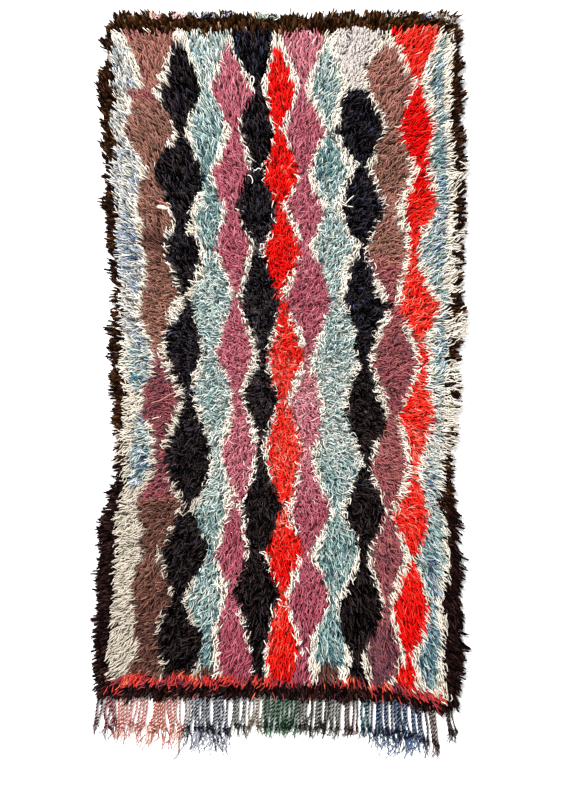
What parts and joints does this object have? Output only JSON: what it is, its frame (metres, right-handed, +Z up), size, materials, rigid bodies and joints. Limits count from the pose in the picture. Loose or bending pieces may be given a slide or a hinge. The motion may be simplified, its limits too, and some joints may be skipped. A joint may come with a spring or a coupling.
{
  "type": "boucherouite rug",
  "caption": "Long knotted shag rug lying flat, with ragged pile edges, columns of coloured lozenges and a loose fringe at one end.",
  "frame": {"origin": "middle of the rug's bounding box, at floor level", "axes": "+Y along the rug towards the end without a fringe, +X across it to the right as seen from above, +Z up"},
  "size_m": [1.326, 2.606, 0.0348],
  "materials": {
    "pile_plum": "matte shaggy rag and wool pile, plum",
    "pile_red": "matte shaggy pile, scarlet",
    "pile_black": "matte shaggy pile, blue-black",
    "pile_umber": "matte shaggy pile, dusty brown",
    "pile_teal": "matte shaggy pile, mixed pale teal",
    "pile_pale": "matte shaggy pile, pale blue-white",
    "pile_cream": "matte shaggy pile, cream outlines",
    "pile_border": "matte shaggy pile, near-black brown border",
    "ground_weave": "flat woven ground seen from beneath",
    "fringe_grey": "plied warp ends, grey",
    "fringe_maroon": "plied warp ends, maroon",
    "fringe_peach": "plied warp ends, peach",
    "fringe_salmon": "plied warp ends, salmon",
    "fringe_dusky": "plied warp ends, dusky",
    "fringe_navy": "plied warp ends, navy",
    "fringe_sage": "plied warp ends, sage",
    "fringe_beige": "plied warp ends, beige",
    "fringe_green": "plied warp ends, green",
    "fringe_olive": "plied warp ends, olive",
    "fringe_russet": "plied warp ends, russet",
    "fringe_teal": "plied warp ends, teal",
    "fringe_blue": "plied warp ends, blue",
    "fringe_mauve": "plied warp ends, mauve",
    "fringe_umber": "plied warp ends, umber"
  },
  "bodies": {
    "root": {"rug_pile": "pile_plum", "fringe_grey": "fringe_grey", "fringe_maroon": "fringe_maroon", "fringe_peach": "fringe_peach", "fringe_salmon": "fringe_salmon", "fringe_dusky": "fringe_dusky", "fringe_navy": "fringe_navy", "fringe_sage": "fringe_sage", "fringe_beige": "fringe_beige", "fringe_green": "fringe_green", "fringe_olive": "fringe_olive", "fringe_russet": "fringe_russet", "fringe_teal": "fringe_teal", "fringe_blue": "fringe_blue", "fringe_mauve": "fringe_mauve", "fringe_umber": "fringe_umber"}
  },
  "joints": []
}
